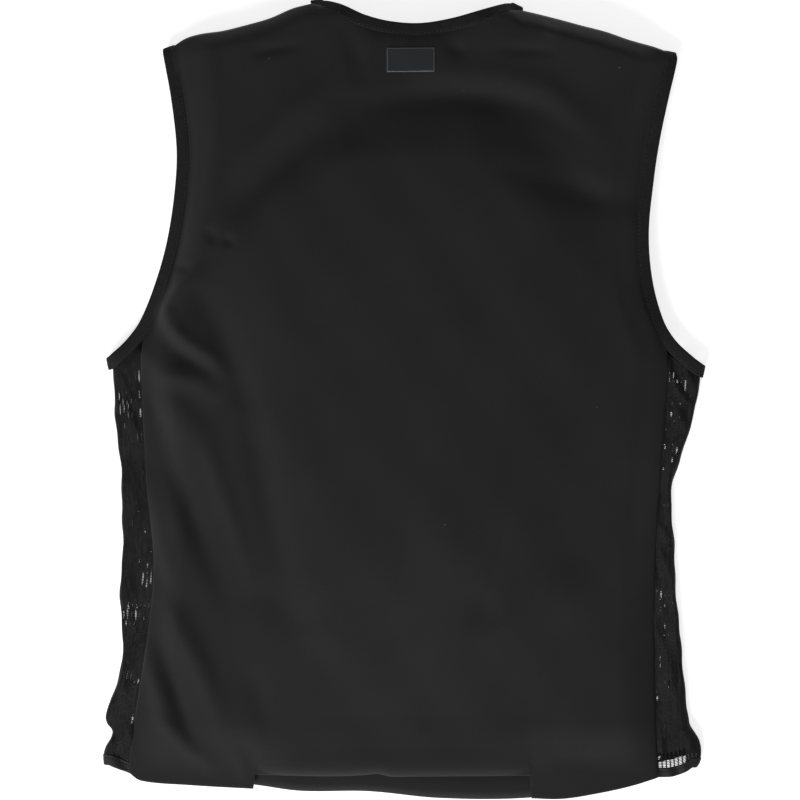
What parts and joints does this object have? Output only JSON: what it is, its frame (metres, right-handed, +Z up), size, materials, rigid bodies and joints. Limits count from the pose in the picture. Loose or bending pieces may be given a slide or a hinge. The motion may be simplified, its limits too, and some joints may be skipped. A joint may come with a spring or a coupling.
{
  "type": "airbag vest",
  "caption": "Sleeveless protective vest laid face down, with a shield-shaped protector in its back pocket, mesh sides, bound armholes and a closed front zip.",
  "frame": {"origin": "centre of the bounding box in plan, on the surface that the vest lies on", "axes": "+Z up from the surface, out of the back; +Y from the hem to the neck; +X towards the wearer's right"},
  "size_m": [0.4898, 0.6509, 0.0456],
  "materials": {
    "softshell": "matt brushed softshell knit",
    "lining": "matt knit",
    "foam": "matt cloth cover",
    "label": "woven satin",
    "mesh": "open stretch mesh",
    "binding": "ribbed elastic tape",
    "zip": "moulded teeth on woven tape"
  },
  "bodies": {
    "root": {"back_panel": "softshell", "back_lining": "lining", "back_pad": "foam", "nape_label": "label", "side_mesh_left": "mesh", "side_mesh_right": "mesh", "side_hem_left": "binding", "side_hem_right": "binding", "armhole_binding_left": "binding", "armhole_binding_right": "binding", "neck_binding": "binding", "front_panel_left": "softshell", "front_panel_right": "softshell", "front_zip": "zip"}
  },
  "joints": []
}
